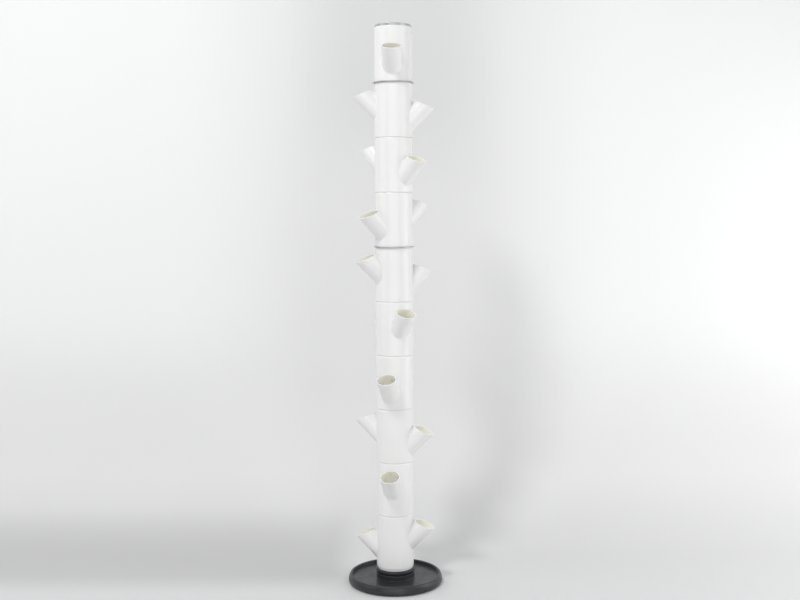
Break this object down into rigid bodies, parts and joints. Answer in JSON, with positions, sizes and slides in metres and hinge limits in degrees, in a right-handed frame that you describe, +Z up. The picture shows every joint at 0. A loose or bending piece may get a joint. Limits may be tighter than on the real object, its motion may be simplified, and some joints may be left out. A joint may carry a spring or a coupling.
{
  "type": "vertical planter tower",
  "caption": "Tall planter tower of stacked round tubes, each with two slanted planting pockets, on a round saucer with a turning hub.",
  "frame": {"origin": "on the floor, under the middle of the saucer", "axes": "+Z up along the stacked tubes, -Y towards the pictured front, +X to the right in the picture"},
  "size_m": [0.279, 0.279, 1.6408],
  "materials": {
    "tube_white": "glossy white, cream inside",
    "dish_anthracite": "satin moulded, fine grain",
    "metal_grey": "satin grey metal",
    "foot_rubber": "matt"
  },
  "bodies": {
    "saucer": {"base_dish": "dish_anthracite", "dish_foot_1": "foot_rubber", "dish_foot_2": "foot_rubber", "dish_foot_3": "foot_rubber", "dish_foot_4": "foot_rubber", "dish_foot_5": "foot_rubber", "dish_foot_6": "foot_rubber"},
    "collar": {"swivel_collar": "dish_anthracite"},
    "tube_01": {"planting_tube_01": "tube_white"},
    "tube_02": {"planting_tube_02": "tube_white"},
    "tube_03": {"planting_tube_03": "tube_white"},
    "tube_04": {"planting_tube_04": "tube_white"},
    "tube_05": {"planting_tube_05": "tube_white"},
    "tube_06": {"planting_tube_06": "tube_white", "spacer_ring_06": "metal_grey"},
    "tube_07": {"planting_tube_07": "tube_white"},
    "tube_08": {"planting_tube_08": "tube_white"},
    "tube_09": {"planting_tube_09": "tube_white", "spacer_ring_09": "metal_grey"},
    "tube_10": {"planting_tube_10": "tube_white"},
    "lid": {"top_lid": "metal_grey"}
  },
  "joints": [
    {"name": "collar_swivel", "type": "hinge", "parent": "saucer", "child": "collar", "pos_m": [0, 0, 0.0325], "axis": [0, 0, 1], "continuous": true},
    {"name": "tube_01_turn", "type": "hinge", "parent": "collar", "child": "tube_01", "pos_m": [0, 0, 0.0448], "axis": [0, 0, 1], "continuous": true},
    {"name": "tube_02_turn", "type": "hinge", "parent": "tube_01", "child": "tube_02", "pos_m": [0, 0, 0.2091], "axis": [0, 0, 1], "continuous": true},
    {"name": "tube_03_turn", "type": "hinge", "parent": "tube_02", "child": "tube_03", "pos_m": [0, 0, 0.3671], "axis": [0, 0, 1], "continuous": true},
    {"name": "tube_04_turn", "type": "hinge", "parent": "tube_03", "child": "tube_04", "pos_m": [0, 0, 0.5251], "axis": [0, 0, 1], "continuous": true},
    {"name": "tube_05_turn", "type": "hinge", "parent": "tube_04", "child": "tube_05", "pos_m": [0, 0, 0.6831], "axis": [0, 0, 1], "continuous": true},
    {"name": "tube_06_turn", "type": "hinge", "parent": "tube_05", "child": "tube_06", "pos_m": [0, 0, 0.8411], "axis": [0, 0, 1], "continuous": true},
    {"name": "tube_07_turn", "type": "hinge", "parent": "tube_06", "child": "tube_07", "pos_m": [0, 0, 1.0014], "axis": [0, 0, 1], "continuous": true},
    {"name": "tube_08_turn", "type": "hinge", "parent": "tube_07", "child": "tube_08", "pos_m": [0, 0, 1.1587], "axis": [0, 0, 1], "continuous": true},
    {"name": "tube_09_turn", "type": "hinge", "parent": "tube_08", "child": "tube_09", "pos_m": [0, 0, 1.3167], "axis": [0, 0, 1], "continuous": true},
    {"name": "tube_10_turn", "type": "hinge", "parent": "tube_09", "child": "tube_10", "pos_m": [0, 0, 1.477], "axis": [0, 0, 1], "continuous": true},
    {"name": "lid_lift", "type": "slide", "parent": "tube_10", "child": "lid", "axis": [0, 0, 1], "range_m": [0, 0.06]}
  ]
}
